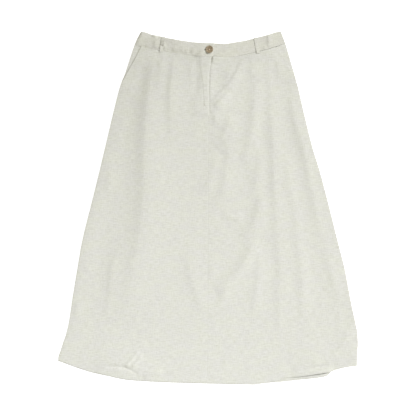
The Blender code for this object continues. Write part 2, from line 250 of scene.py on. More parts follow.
def add_wall(name, grid, under, thickness, grain_top=None, flush=None):
    """A closed wall of cloth on a grid of points, up from its under side. Its edges are rounded,
    and less so where they are flush with the next piece."""
    across, down = grid[..., 0], grid[..., 1]
    full = np.full(across.shape, EDGE_SHARE)
    full[1:-1, 1:-1] = 1.0
    if flush is not None:
        full[flush] = FLUSH_SHARE
    middle = under(across, down) + thickness / 2
    top = place(across, down, middle + thickness / 2 * full).reshape(-1, 3)
    bottom = place(across, down, middle - thickness / 2 * full).reshape(-1, 3)
    upper = np.arange(across.size).reshape(across.shape)
    quads = [upper[:-1, :-1], upper[1:, :-1], upper[1:, 1:], upper[:-1, 1:]]
    faces = np.stack(quads, axis=-1).reshape(-1, 4)
    rim = np.concatenate([upper[0, :-1], upper[:-1, -1], upper[-1, :0:-1], upper[:0:-1, 0]])
    after = np.roll(rim, -1)
    walls = np.stack([rim, after, after + across.size, rim + across.size], axis=-1)
    faces = np.concatenate([faces, faces[:, ::-1] + across.size, walls])
    fall = down if grain_top is None else down - curve(grain_top, across)
    grain = np.stack([across, -fall], axis=-1).reshape(-1, 2)
    return add_mesh(name, np.concatenate([top, bottom]), faces.tolist(), np.tile(grain, (2, 1)))


def add_node(tree, kind, inputs, **settings):
    """Adds a shader node. Each input is a value, or another node's output."""
    node = tree.nodes.new("ShaderNode" + kind)
    for name, value in settings.items():
        setattr(node, name, value)
    for name, value in inputs.items():
        if isinstance(value, bpy.types.NodeSocket):
            tree.links.new(value, node.inputs[name])
        else:
            node.inputs[name].default_value = value
    return node


# Painted shade: the cloth below the waist and near the centre line is darkened a little,
# from nothing to the full tone between these distances down, and across on both sides.
PAINTED_SHADE_DOWN = (170.0, 65.0)
PAINTED_SHADE_ACROSS = (160.0, 110.0)

# Each noise of the weave: its waves in a metre across and down, and its detail.
WEFT = (62.0, 430.0, 2.0)
WARP = (430.0, 70.0, 2.0)
FLECKS = (150.0, 460.0, 1.0)
PATCHES = (26.0, 48.0, 3.0)
WARP_SHARE = 0.4
FLECK_TINT = (0.93, 0.922, 0.885)
WARM_TINT = (1.005, 1.008, 0.984)
COOL_TINT = (0.992, 0.987, 1.003)
THREAD_PITCH = 0.0011  # from one thread to the next, in metres
ONE_WAVE = math.tau / 20  # the scale at which a wave texture has one wave in a metre
WEAVE_RELIEF = 0.2  # how high the threads stand


def make_linen(name, colour, shade, painted_shade_tone):
    """Linen in a plain weave, with thick and thin threads, in a cream yarn and a greyer one."""
    material = bpy.data.materials.new(name)
    material.use_nodes = True
    tree = material.node_tree
    shader = tree.nodes["Principled BSDF"]
    shader.inputs["Roughness"].default_value = 0.92
    shader.inputs["Specular IOR Level"].default_value = 0.25
    shader.inputs["Sheen Weight"].default_value = 0.1
    shader.inputs["Sheen Roughness"].default_value = 0.6
    grain = add_node(tree, "UVMap", {}, uv_map="grain").outputs["UV"]

    def noise(across, along, detail):
        stretch = add_node(tree, "Mapping", {"Vector": grain, "Scale": (across, along, 1.0)})
        inputs = {"Vector": stretch.outputs["Vector"], "Scale": 1.0, "Detail": detail}
        return add_node(tree, "TexNoise", inputs, noise_dimensions="2D").outputs["Fac"]

    def threads(direction):
        inputs = {"Vector": grain, "Scale": ONE_WAVE / THREAD_PITCH, "Distortion": 0.6}
        return add_node(tree, "TexWave", inputs, bands_direction=direction).outputs["Fac"]

    def math_of(operation, a, b):
        return add_node(tree, "Math", {0: a, 1: b}, operation=operation).outputs[0]

    def spread(value, low, high):
        return add_node(tree, "MapRange", {"Value": value, "From Min": low, "From Max": high}).outputs[0]

    def mixed(factor, a, b, blend="MIX"):
        inputs = {0: factor, 6: a, 7: b}
        return add_node(tree, "Mix", inputs, data_type="RGBA", blend_type=blend).outputs[2]

    slubs = add_node(tree, "Mix", {0: WARP_SHARE, 2: noise(*WEFT), 3: noise(*WARP)}).outputs[0]
    yarn = mixed(spread(slubs, 0.36, 0.62), (*shade, 1.0), (*colour, 1.0))
    flecks = mixed(spread(noise(*FLECKS), 0.64, 0.76), (1.0, 1.0, 1.0, 1.0), (*FLECK_TINT, 1.0))
    patches = mixed(spread(noise(*PATCHES), 0.35, 0.65), (*WARM_TINT, 1.0), (*COOL_TINT, 1.0))
    cloth = mixed(1.0, yarn, mixed(1.0, flecks, patches, "MULTIPLY"), "MULTIPLY")

    # Painted shade: a mask darkens the cloth by its tone near the waist and the centre line.
    spot = add_node(tree, "SeparateXYZ", {"Vector": add_node(tree, "TexCoord", {}).outputs["Object"]})
    from_middle = math_of("ABSOLUTE", spot.outputs["X"], 0.0)
    near_middle = spread(from_middle, *[across * MM for across in PAINTED_SHADE_ACROSS])
    near_waist = spread(spot.outputs["Y"], *[TOP_Y - down * MM for down in PAINTED_SHADE_DOWN])
    painted_shade_mask = math_of("MULTIPLY", near_waist, near_middle)
    cloth_with_painted_shade = mixed(painted_shade_mask, cloth, (painted_shade_tone, painted_shade_tone, painted_shade_tone, 1.0), "MULTIPLY")
    tree.links.new(cloth_with_painted_shade, shader.inputs["Base Color"])

    weave = math_of("MULTIPLY", threads("X"), threads("Y"))
    relief = math_of("ADD", math_of("MULTIPLY", weave, 0.5), slubs)
    bump = add_node(tree, "Bump", {"Height": relief, "Strength": 1.0, "Distance": WEAVE_RELIEF * MM})
    tree.links.new(bump.outputs["Normal"], shader.inputs["Normal"])
    return material


def flat_under(across, down):
    """The height of the under side of a piece that lies flat on the surface."""
    return np.zeros_like(across)


# The height of the curl of the back's hem beside the left side seam: (across, height) rows.
HEM_CURL = [(-405, 0), (235, 0), (262, 1.8), (300, 3.6), (318, 4.2), (326, 2.6), (332, 0), (405, 0)]
CURL_WIDTH = 7.2  # how far in from the hem it begins to fall
CURL_FALL = 1.4  # how much further in it lies flat


def ease(share):
    """0 up to a share of 0, 1 from a share of 1, and a smooth rise between."""
    share = np.clip(share, 0, 1)
    return share * share * (3 - 2 * share)


def back_under(across, down):
    """The height of the back's under side."""
    from_hem = curve(BACK_HEM, across) - down
    return curve(HEM_CURL, across) * (1 - ease((from_hem - CURL_WIDTH) / CURL_FALL))


# The skirt's linen gets painted shade near the waist and the centre line.
linen = make_linen("linen", colour=(0.74, 0.735, 0.668), shade=(0.655, 0.65, 0.575), painted_shade_tone=0.93)
back_right, back_left = [curve(WAIST_SEAM, across) + GAP for across in SEAM_ENDS]
hem_right, hem_left = [curve(BACK_HEM, across) for across in HEM_ENDS]
back_grid = patch(
    edge_across(WAIST_SEAM, *SEAM_ENDS, GAP),
    edge_across(BACK_HEM, *HEM_ENDS),
    edge_down(RIGHT_SIDE, back_right, hem_right),
    edge_down(LEFT_SIDE, back_left, hem_left),
    BACK_STEP,
    BACK_HEM_RUN,
)
back_panel = add_wall("back", back_grid, back_under, CLOTH)
dress(back_panel, linen, "linen", "back_panel")


# The back waistband: a straight strip of the same linen, folded, faced and pressed.
# It is sewn to the top of the back panel and lies flat under the front waistband.
BAND = 1.8  # how thick the folded band is
BAND_STEP = 1.5
TOP_ENDS = (-181.0, 196.5)  # how far across the ends of its top are
TOP_INSET = 1.5  # how far its top lies below the front band's

# The band's linen gets a faint painted shade near the centre line.
linen_band = make_linen(
    "linen_band", colour=(0.702, 0.692, 0.617), shade=(0.618, 0.609, 0.528), painted_shade_tone=0.99
)
top_right, top_left = [curve(WAIST_TOP, across) + TOP_INSET for across in TOP_ENDS]
seam_right, seam_left = [curve(WAIST_SEAM, across) for across in SEAM_ENDS]
band_grid = patch(
    edge_across(WAIST_TOP, *TOP_ENDS, TOP_INSET),
    edge_across(WAIST_SEAM, *SEAM_ENDS),
    edge_down(RIGHT_SIDE, top_right, seam_right),
    edge_down(LEFT_SIDE, top_left, seam_left),
    BAND_STEP,
)
back_band = add_wall("back_band", band_grid, flat_under, BAND, WAIST_TOP)
dress(back_band, linen_band, "linen_band", "waistband_back")


# The pocket pieces: the side-front cloth behind each slanted pocket opening, cut in the same linen.
# Each is sewn into the waist seam and the side seam, and runs in under the front.
RIGHT_POCKET_END = 139.0  # how far down its opening ends
LEFT_POCKET_END = 118.0
POCKET_OVERLAP = 15.0  # how far it runs in under the front
POCKET_STEP = 3.5
ROLL = 12.0  # width of the side that rolls down to its seam
ROLL_SPREAD = 60.0  # how far in from the side that rise dies away
ROLL_RISE = 0.45
LEFT_ROLL_SHARE = 0.15  # how much of that rise the wearer's left side has
WAIST_GAP = 0.05  # between a piece and the band above it
SEAM_RISE = 0.6  # how much the seam allowances under it lift the cloth beside the waist seam
SEAM_SPREAD = 14.0
FLAT_SEAM = 138.0  # from here to the wearer's left side the waist seam is pressed flat

# How much the seam allowances inside them lift the sides: (down, height) rows.
LEFT_LIFT = [
    (0, 0), (40, 0.7), (57, 1.8), (70, 2.3), (100, 2.3), (130, 2), (150, 1.8), (320, 1.6),
    (450, 0.9), (600, 0.4), (900, 0.3),
]
LEFT_SPREAD = 32.0
RIGHT_LIFT = [
    (0, 0), (120, 0.2), (240, 0.6), (400, 0.9), (520, 1.9), (600, 2.2), (680, 1.5), (780, 0.4),
    (900, 0.2),
]
RIGHT_SPREAD = 60.0

Slash = namedtuple("Slash", "down right left")
SLASHES = [
    Slash(40, -180.0, 180.0),
    Slash(57, -188.5, 195.0),
    Slash(82, -201.5, 211.5),
    Slash(95, -209.0, 216.0),
    Slash(118, -222.0, 233.5),
    Slash(139, -233.5, 239.5),
]
RIGHT_SLASH = column(SLASHES, "down", "right")
LEFT_SLASH = column(SLASHES, "down", "left")


def from_side(across, down):
    """How far in from the nearer side a point lies."""
    return np.minimum(across - curve(RIGHT_SIDE, down), curve(LEFT_SIDE, down) - across)


def rolled(across, down):
    """How the cloth stands up beside its side seams: 0 at a seam, 1 at the roll, less further in.
    The wearer's left side is pressed flatter."""
    inset = from_side(across, down)
    share = np.clip(inset / ROLL, 0, 1)
    roundness = np.sin(math.pi / 2 * share) * np.exp(-np.maximum(inset - ROLL, 0) / ROLL_SPREAD)
    return np.where(across > 0, LEFT_ROLL_SHARE, 1.0) * roundness


def seam_lift(across, down):
    """How much the seam allowances lift the cloth below the waist seam and at the sides."""
    at_waist = SEAM_RISE * (1 - ease((down - curve(WAIST_SEAM, across)) / SEAM_SPREAD))
    at_left = curve(LEFT_LIFT, down) * (1 - ease((curve(LEFT_SIDE, down) - across) / LEFT_SPREAD))
    at_right = curve(RIGHT_LIFT, down) * (1 - ease((across - curve(RIGHT_SIDE, down)) / RIGHT_SPREAD))
    return at_waist + at_left + at_right


# Each fold is a crest through a few (across, down, rise) points, or a crease where the rise is below
# zero. It falls away over its right width and its left width, as they lie to one who walks along it.
Fold = namedtuple("Fold", "right_width left_width crest")
FOLDS = [
    Fold(18, 46, [
        (-130, 28, 0), (-133, 46, 2.6), (-140, 70, 5.2), (-148, 103, 6.9), (-157, 171, 6.9), (-164, 238, 6.5),
        (-169, 319, 5.6), (-169, 400, 5.1), (-174, 481, 4.7), (-184, 562, 4.2), (-200, 643, 3.6),
        (-211, 724, 2.1), (-219, 800, 0),
    ]),
    Fold(9, 14, [(-119, 52, 0), (-122, 90, 1.8), (-130, 130, 1.2), (-138, 175, 0)]),
    Fold(8, 28, [(-90, 56, 0), (-93, 103, 2.6), (-100, 171, 2.8), (-99, 238, 1.6), (-97, 320, 0)]),
    Fold(5, 8, [(-47, 64, 0), (-45, 100, 0.6), (-44, 150, 0)]),
    Fold(8, 24, [(-228, 540, 0), (-243, 600, 1.4), (-259, 645, 2.1), (-264, 724, 1.4), (-268, 790, 0)]),
    Fold(9, 20, [(-48, 560, 0), (-48, 640, 1.5), (-24, 724, 1.5), (-14, 770, 0)]),
    Fold(6, 12, [(-262, 360, 0), (-267, 400, 0.8), (-272, 448, 0)]),
    Fold(6, 12, [(-268, 335, 0), (-278, 350, 0.6), (-288, 368, 0)]),
    Fold(6, 14, [(8, 585, 0), (7, 650, 0.7), (5, 715, 0)]),
    Fold(3, 14, [
        (98, 72, 0), (86, 92, 1.6), (70.5, 122, 2.2), (58.5, 142, 2.3), (41, 159, 2.3), (24, 175, 2.2),
        (15, 183, 1.6), (6, 191, 0),
    ]),
    Fold(8, 16, [(72, 88, 0), (55, 118, 1.9), (48, 140, 1.6), (42, 156, 0)]),
    Fold(5, 16, [(120, 62, 0), (117, 100, 1.1), (117, 135, 0)]),
    Fold(4, 20, [(184, 60, 0), (190, 103, 0.8), (193, 140, 0)]),
    Fold(3, 11, [
        (62, 160, 0), (48, 174, 1.4), (36, 185, 2.6), (28, 192, 2.9), (21, 198, 2.4), (14, 204, 1.2),
        (7, 210, 0),
    ]),
    Fold(9, 26, [(62, 222, 0), (56, 250, 2.6), (44, 280, 2.6), (30, 302, 1), (18, 312, 0)]),
    Fold(10, 14, [(24, 335, 0), (14, 370, 1), (4, 405, 1.4), (-4, 440, 0)]),
    Fold(8, 24, [(66, 300, 0), (56, 330, 1.8), (50, 366, 1.6), (42, 410, 0.8), (36, 440, 0)]),
    Fold(8, 15, [(56, 378, 0), (43, 425, 1.5), (16, 475, 0)]),
    Fold(4, 9, [(24, 212, 0), (19, 236, 1.8), (14, 260, 0)]),
    Fold(6, 12, [(22, 318, 0), (18, 348, 0.7), (14, 378, 0)]),
    Fold(11, 16, [(134, 92, 0), (128, 171, 2.4), (123, 238, 2.9), (108, 319, 2.2), (98, 375, 0)]),
    Fold(10, 16, [(140, 290, 0), (138, 350, 1.8), (132, 400, 2.4), (124, 455, 0)]),
    Fold(9, 26, [(142, 425, 0), (136, 481, 3.2), (123, 520, 3), (105, 545, 2), (82, 560, 0)]),
    Fold(8, 18, [(128, 560, 0), (113, 592, 2.8), (90, 634, 4), (60, 666, 3.6), (32, 687, 2), (16, 695, 0)]),
    Fold(5, 12, [(54, 674, 0), (45, 698, 0.8), (36, 722, 1.2), (18, 746, 0)]),
    Fold(3, 9, [(36, 500, 0), (60, 504, 1.2), (82, 505, 1.2), (100, 500, 0)]),
    Fold(9, 16, [(146, 580, 0), (138, 643, 1.8), (128, 724, 2), (122, 780, 0)]),
    Fold(11, 24, [
        (164, 50, 0), (166, 100, 1.4), (171, 171, 1.8), (173, 238, 2.6), (178, 319, 3), (180, 400, 3),
        (186, 481, 2.6), (189, 562, 2), (197, 643, 2.3), (193, 724, 2), (192, 830, 0),
    ]),
    Fold(10, 16, [
        (212, 320, 0), (220, 400, 1.8), (235, 481, 1.4), (243, 562, 1.5), (252, 643, 2.2), (254, 724, 1.8),
        (256, 810, 0),
    ]),
    Fold(12, 34, [(228, 90, 0), (230, 171, 2.2), (237, 238, 3.4), (248, 290, 1), (252, 330, 0)]),
    Fold(12, 20, [
        (244, 230, 0), (262, 319, 3.6), (275, 400, 2.6), (293, 481, 2), (307, 562, 1.3), (320, 620, 0),
    ]),
    Fold(11, 18, [(318, 570, 0), (332, 643, 1.9), (350, 724, 1), (360, 770, 0)]),
    Fold(5, 10, [(370, 680, 0), (383, 724, 1.2), (392, 760, 1.2), (400, 800, 0)]),
    Fold(64, 100, [(-22, 0, 7), (-22, 100, 8.5), (-20, 200, 5.5), (-20, 330, 0)]),
    Fold(200, 80, [(10, 60, 0), (20, 250, 3), (20, 700, 3), (10, 850, 0)]),
    Fold(3, 8, [(-352, 722, 0), (-355, 748, 1.6), (-362, 775, 0)]),
    Fold(6, 30, [(386, 790, 0), (370, 833, 2.2), (345, 868, 2.4), (330, 882, 1.2), (320, 892, 0)]),
    Fold(5, 8, [(392, 836, 0), (391, 862, 1.2), (388, 892, 0)]),
    Fold(12, 8, [
        (214, 936, 0), (262, 928, 1.4), (300, 922, 2.2), (322, 919, 2.4), (334, 916, 1.4), (345, 912, 0),
    ]),
    Fold(16, 34, [
        (222, 914, 0), (262, 909, 1.8), (300, 904, 2.7), (320, 899, 2.3), (340, 892, 0.8), (356, 886, 0),
    ]),
    Fold(2.5, 3.5, [(244, 915, 0), (270, 910, -1.3), (296, 905, -2.4), (312, 902, -2.3), (326, 898, 0)]),
    Fold(26, 22, [
        (-306, 912, 0), (-278, 908, 2), (-250, 904, 2.8), (-222, 906, 2.4), (-195, 914, 1.6),
        (-160, 924, 0.8), (-110, 932, 0),
    ]),
    Fold(2.6, 3, [
        (-286, 919, 0), (-277, 912, -1), (-262, 903.5, -2.7), (-229, 905, -2.7), (-214, 911, -1.4),
        (-196, 920, -1.1), (-184, 926, 0),
    ]),
    Fold(2.6, 4, [(-182, 858, 0), (-195, 872, 1.7), (-216, 895, 2.3), (-224, 904, 0)]),
    Fold(2.6, 4, [(-176, 868, 0), (-184, 880, 1.7), (-200, 899, 2.2), (-208, 908, 0)]),
    Fold(5, 2.6, [(-176, 929, 0), (-168, 926, 1.6), (-137, 917, 2.5), (-122, 915, 0)]),
]

# Small creases and puckers of the waistband. Some cross the waist seam into the fronts.
PUCKERS = [
    Fold(3, 10, [(-175, -2, 1), (-179, 8, 2.4), (-188, 24, 1.6), (-194, 38, 0)]),
    Fold(3, 6, [(-152, 10, 0), (-143, 14, 2.4), (-134, 15, 0)]),
    Fold(3, 8, [(-134, 20, 0), (-150, 21, 1.2), (-172, 22, 0)]),
    Fold(3, 60, [(-118, 16, 0), (-131, 20, 1.3), (-140, 28, 1.7), (-143, 37, 1.6), (-140, 46, 0)]),
    Fold(2, 3, [(-128, 38, 0), (-129.5, 45, 0.6), (-130.5, 53, 0)]),
    Fold(20, 26, [(-96, 8, 2), (-88, 20, 3.4), (-80, 32, 3.4), (-78, 46, 1.8), (-78, 58, 0)]),
    Fold(14, 60, [(-118, 16, 0.6), (-120, 28, 2.4), (-122, 40, 2.4), (-123, 48, 0.8), (-124, 54, 0)]),
    Fold(2.5, 4, [(-172, 44, 0), (-154, 42.5, 1.4), (-138, 43, 1.2), (-130, 46, 0)]),
    Fold(2, 4, [(-117, 37, 0), (-117, 45, 1.2), (-117.5, 54, 0)]),
    Fold(2.5, 4, [(-95, 42, 0), (-92, 50, 1.0), (-91, 56, 0)]),
    Fold(2.5, 4, [(-70, 48, 0), (-68, 55, 0.9), (-67, 61, 0)]),
    Fold(2.5, 4, [(-60, 48, 0), (-57, 56, 1.1), (-55, 63, 0)]),
    Fold(3, 5, [(-47, 46, 0), (-42, 56, 1.5), (-42, 64, 0)]),
    Fold(3, 6, [(-4, 51, 0), (-12, 55.5, 1.4), (-20, 59.5, 1.6), (-27, 66, 1.2), (-34, 78, 0)]),
    Fold(2, 5, [(-28, 62, 0), (-16, 63, 0.4), (-4, 63.5, 0)]),
    Fold(2, 4, [(22, 48, 0), (52, 44.5, 0.5), (78, 38, 0)]),
    Fold(2.5, 6, [(161, 6, 0), (162.5, 16, 1.6), (163.5, 34, 1.3), (163, 44, 0)]),
    Fold(2.5, 3, [(151, 38, 0), (152.5, 45, 1), (153, 52, 0)]),
]

SETTLE = 90.0  # how far below the waist's top the folds reach their full height
SETTLED = 0.85  # the share of their height at the waist's top
SIDE_SETTLE = 34.0  # how far in from the sides they reach their full height
SIDE_SETTLED = 0.5  # the share of their height at the sides
CREST_POINTS = 4  # how many points of its line a crest has for each one that is given


def along_crest(points):
    """A smooth line through a crest's points, close enough together to look round."""
    points = np.array(points, float)
    runs = np.concatenate(([0.0], np.cumsum(np.linalg.norm(np.diff(points[:, :2], axis=0), axis=1))))
    at = np.linspace(0, runs[-1], CREST_POINTS * len(points))
    return np.stack([curve(list(zip(runs, points[:, i])), at) for i in range(3)], axis=-1)


def folded(folds, across, down):
    """How high the folds stand at each point."""
    height = np.zeros_like(across)
    for fold in folds:
        crest = along_crest(fold.crest)
        nearest = np.full(across.shape, np.inf)
        off = np.zeros_like(across)
        rise = np.zeros_like(across)
        for start, step in zip(crest, np.diff(crest, axis=0)):
            run, fall = across - start[0], down - start[1]
            share = np.clip((run * step[0] + fall * step[1]) / (step[0] ** 2 + step[1] ** 2), 0, 1)
            distance = np.hypot(run - share * step[0], fall - share * step[1])
            closer = distance < nearest
            nearest = np.where(closer, distance, nearest)
            side = np.sign(run * step[1] - fall * step[0])
            off = np.where(closer, side * distance, off)
            rise = np.where(closer, start[2] + share * step[2], rise)
        width = np.where(off > 0, fold.left_width, fold.right_width)
        height += rise / np.cosh(np.clip(off / width, -20, 20))
    return height


def lifted(across, down):
    """How high the folds lift the fronts and their waistband."""
    inset = from_side(across, down)
    at_side = SIDE_SETTLED + (1 - SIDE_SETTLED) * ease(inset / SIDE_SETTLE)
    at_waist = SETTLED + (1 - SETTLED) * ease((down - curve(WAIST_TOP, across)) / SETTLE)
    return np.maximum(folded(FOLDS, across, down) * at_side * at_waist + folded(PUCKERS, across, down), 0.0)


def on_flat_seam(grid):
    """Which points lie on the part of the waist seam that is pressed flat, at the wearer's left."""
    from_seam = grid[..., 1] - curve(WAIST_SEAM, grid[..., 0])
    return (abs(from_seam) < EDGE / 2) & (grid[..., 0] > FLAT_SEAM)


def pocket_under(across, down):
    """The height of a pocket piece's under side."""
    return CLOTH + GAP + ROLL_RISE * rolled(across, down) + seam_lift(across, down) + lifted(across, down)


Pocket = namedtuple("Pocket", "name side slash side_across slash_across end overlap")
POCKETS = [
    Pocket("right", RIGHT_SIDE, RIGHT_SLASH, -197.5, -180.0, RIGHT_POCKET_END, POCKET_OVERLAP),
    Pocket("left", LEFT_SIDE, LEFT_SLASH, 209.5, 180.0, LEFT_POCKET_END, -POCKET_OVERLAP),
]
for name, side, slash, side_across, slash_across, end, overlap in POCKETS:
    inner_across = slash_across + overlap
    pocket_grid = patch(
        edge_across(WAIST_SEAM, side_across, inner_across, WAIST_GAP),
        straight_edge((curve(side, end), end), (curve(slash, end) + overlap, end)),
        edge_down(side, curve(WAIST_SEAM, side_across) + WAIST_GAP, end),
        edge_down(slash, curve(WAIST_SEAM, inner_across) + WAIST_GAP, end, overlap),
        POCKET_STEP,
    )
    flush = on_flat_seam(pocket_grid)
    pocket_piece = add_wall("pocket_" + name, pocket_grid, pocket_under, CLOTH, flush=flush)
    dress(pocket_piece, linen, "linen", "pocket_piece_" + name)


# The two fronts, cut in linen on the straight grain and joined in a centre seam below the fly.
# They lie on the back in soft folds, and the right one's edge laps over the left one's.
FRONT_STEP = 3.0
FRONT_HEM_RUN = (66.0, 1.5)
LENGTH = 952.0  # of the whole skirt
FLY_END = 220.0  # how far down the fly's opening ends
SEAM_DOWN = 226.0  # where the centre seam begins
SEAM_GAP = 0.05
UNDERLAP = 13.0  # how far past the centre line the left front runs in under the right one at the fly
UNDERLAP_DOWN = FLY_END - 4  # how far down it does
LAP_END = -2.0  # how far below the fly's end the lap begins to come down
RAMP = 16.0  # how far it needs to come down there
POCKET_RAMP = 45.0  # how far a front needs to come down from a pocket piece
POCKET_GAP = 0.1
# How far the lap needs to come down: (down, run) rows.
LAP_RAMP = [(0, 20), (150, 20), (190, 48), (960, 48)]
# How much thicker the lap is where its facing is stitched on: (down, height) rows.
FACING = [(60, 0.2), (120, 0.4), (180, 0.4), (205, 0.3), (215, 0), (960, 0)]
FACING_EDGE = 4.0  # how wide the rise at its edge is
LAP_DROP = 0.3  # how much the lap is pressed down at its very edge
LAP_DROP_WIDTH = 6.0
HEM_ROLL = 1.2  # how much the fold of the hem rounds down
HEM_ROLL_WIDTH = 2.8
HEM_ROLL_END = 60.0  # how far across it begins to die away, before the back's hem comes out below it

Centre = namedtuple("Centre", "down across")
CENTRE_EDGE = [
    Centre(60, 11.2),
    Centre(80, 8.0),
    Centre(103, 4.4),
    Centre(155, 2.2),
    Centre(220, 2.2),
    Centre(226, 1.3),
    Centre(240, 1.2),
    Centre(952, -2.7),
]

# The left front stands up a little beside the edge of the lap, so that a shadow lies between them.
LAP_SHADOW = [
    Fold(1.5, 13, [(14.8, 62, 2.6), (13.8, 69, 4), (12.4, 78, 2.6), (10.6, 88, 0)]),
    Fold(1.5, 9, [(12.2, 74, 0), (11.4, 80, 1), (8.2, 103, 1.2), (6, 155, 1.2), (6, 212, 0.8)]),
]

# The line of the stitching that holds the fly's facing: down, and how far across.
FLY_STITCHING = [
    (60, -23), (103, -20), (128, -15.2), (140, -13.4), (171, -11.2), (192, -9.4), (202, -6), (209, -0.6),
    (212, 2.2),
]


def over_pocket(across, down):
    """How much a front rises where it lies on a pocket piece."""
    share = np.zeros_like(across)
    for slash, end, inwards in ((RIGHT_SLASH, RIGHT_POCKET_END, 1), (LEFT_SLASH, LEFT_POCKET_END, -1)):
        inside = (across - curve(slash, np.minimum(down, end))) * inwards - POCKET_OVERLAP - GAP
        below = down - end - GAP
        share = np.maximum(share, (1 - ease(inside / POCKET_RAMP)) * (1 - ease(below / POCKET_RAMP)))
    return (CLOTH + POCKET_GAP) * share


def lapped(across, down, ramp):
    """The share of a layer by which the right side rises onto what runs in under it."""
    inside = -UNDERLAP - 2 * GAP - across
    below = down - FLY_END - LAP_END
    return (1 - ease(inside / ramp)) * (1 - ease(below / RAMP))


def hem_roll(across, down):
    """How much the fold of the turned-up hem rounds down at the very edge."""
    at_edge = 1 - ease((curve(FRONT_HEM, across) - down) / HEM_ROLL_WIDTH)
    return HEM_ROLL * at_edge * (1 - ease((across - HEM_ROLL_END) / HEM_ROLL_END))


def front_under(across, down):
    """The height of a front's under side, as both fronts have it."""
    raised = ROLL_RISE * rolled(across, down) + lifted(across, down)
    raised = raised + seam_lift(across, down) - hem_roll(across, down)
    return CLOTH + GAP + raised + over_pocket(across, down)


def front_left_under(across, down):
    """The height of the left front's under side."""
    return front_under(across, down) + folded(LAP_SHADOW, across, down)


def front_right_under(across, down):
    """The height of the right front's under side, over the left one's underlap."""
    on_underlap = (CLOTH + GAP) * lapped(across, down, curve(LAP_RAMP, down))
    facing = ease((across - curve(FLY_STITCHING, down)) / FACING_EDGE + 0.5) * curve(FACING, down)
    pressed = LAP_DROP * (1 - ease((curve(CENTRE_EDGE, down) - across) / LAP_DROP_WIDTH)) * (down < FLY_END)
    return front_under(across, down) + on_underlap + facing - pressed


right_edge = RIGHT_SLASH + [row for row in RIGHT_SIDE if row[0] > RIGHT_POCKET_END]
left_edge = [row for row in LEFT_SLASH if row[0] <= LEFT_POCKET_END]
left_edge += [row for row in LEFT_SIDE if row[0] > LEFT_POCKET_END]
underlap_edge = [(CENTRE_EDGE[0].down, -UNDERLAP), (UNDERLAP_DOWN, -UNDERLAP)]
underlap_edge += [(row.down, row.across + SEAM_GAP) for row in CENTRE_EDGE if row.down >= SEAM_DOWN]
Front = namedtuple("Front", "name side centre top_across hem_across under")
FRONTS = [
    Front("left", left_edge, underlap_edge, 180.0, 402.0, front_left_under),
    Front("right", right_edge, CENTRE_EDGE, -180.0, -404.5, front_right_under),
]
for name, side, centre, top_across, hem_across, under in FRONTS:
    top_centre, hem_centre = [curve(centre, down) for down in (curve(WAIST_SEAM, 0.0), LENGTH)]
    front_grid = patch(
        edge_across(WAIST_SEAM, top_across, top_centre, WAIST_GAP),
        edge_across(FRONT_HEM, hem_across, hem_centre),
        edge_down(side, curve(WAIST_SEAM, top_across) + WAIST_GAP, curve(FRONT_HEM, hem_across)),
        edge_down(centre, curve(WAIST_SEAM, top_centre) + WAIST_GAP, curve(FRONT_HEM, hem_centre)),
        FRONT_STEP,
        FRONT_HEM_RUN,
    )
    at_centre = abs(front_grid[..., 0] - curve(CENTRE_EDGE, front_grid[..., 1])) < EDGE / 2
    flush = at_centre & (front_grid[..., 1] > SEAM_DOWN) | on_flat_seam(front_grid)
    front = add_wall("front_" + name + "_cloth", front_grid, under, CLOTH, flush=flush)
    dress(front, linen, "linen", "front_" + name)


# The front waistband: two strips of the same linen, folded, faced and pressed, sewn to the fronts.
# The right one's end laps over the left one's and is buttoned to it.
BAND_ROLL_RISE = 0.8
BAND_RAMP = 36.0  # how far the lapped end needs to come down
# How much the pocket pieces' tops, sewn in below it, lift the band: (across, height) rows.
BAND_LIFT = [(-192, 0), (-168, 0.5), (-156, 0.5), (-100, 0), (120, 0), (162, 0.3), (210, 0.3)]


def band_left_under(across, down):
    """The height of the left band's under side."""
    raised = BAND_ROLL_RISE * rolled(across, down) + curve(BAND_LIFT, across)
    return BAND + GAP + raised + lifted(across, down)


def band_right_under(across, down):
    """The height of the right band's under side, over the left one's end."""
    return band_left_under(across, down) + (BAND + GAP) * lapped(across, down, BAND_RAMP)


Band = namedtuple("Band", "name side top_across seam_across end_top end_seam under")
BANDS = [
    Band("left", LEFT_SIDE, 196.5, 209.5, -UNDERLAP, -UNDERLAP, band_left_under),
    Band("right", RIGHT_SIDE, -180.5, -197.5, 16.7, 10.5, band_right_under),
]
for name, side, top_across, seam_across, end_top, end_seam, under in BANDS:
    band_grid = patch(
        edge_across(WAIST_TOP, top_across, end_top),
        edge_across(WAIST_SEAM, seam_across, end_seam),
        edge_down(side, curve(WAIST_TOP, top_across), curve(WAIST_SEAM, seam_across)),
        straight_edge((end_top, curve(WAIST_TOP, end_top)), (end_seam, curve(WAIST_SEAM, end_seam))),
        BAND_STEP,
    )
    band = add_wall("band_" + name, band_grid, under, BAND, WAIST_TOP, on_flat_seam(band_grid))
    dress(band, linen_band, "linen_band", "waistband_" + name)


# The belt loops: narrow strips of linen, folded in three and stitched.
# Each crosses the waistband, and is sewn down at its top and just below the waist seam.
LOOP_WIDTH = 9.5
LOOP_THICKNESS = 0.6
LOOP_STEP = 1.2

# A loop's arch is how high it stands over what it crosses: (down, height) rows.
# Its tilt is how steeply it falls to the wearer's left: (down, slope) rows.
Loop = namedtuple("Loop", "side across down to_across to_down arch tilt")
LOOPS = [
    Loop(
        "right", -120.7, 15.5, -125.5, 55.6,
        [(15.5, 0.6), (22, 1.3), (29, 2.1), (36, 1.9), (41, 0.6), (50, 0.5), (55.6, 0.3)],
        [(15.5, -0.16), (22, -0.26), (29, -0.36), (36, -0.32), (42, 0.1), (55.6, 0.08)],
    ),
    Loop(
        "left", 127.5, 16.6, 136.0, 59.0,
        [(16.6, 0.2), (26, 0.3), (34, 0.2), (41, 0.1), (53, 0.4), (59, 0.3)],
        [(16.6, 0.02), (34, 0.02), (44, 0.06), (59, 0.06)],
    ),
]


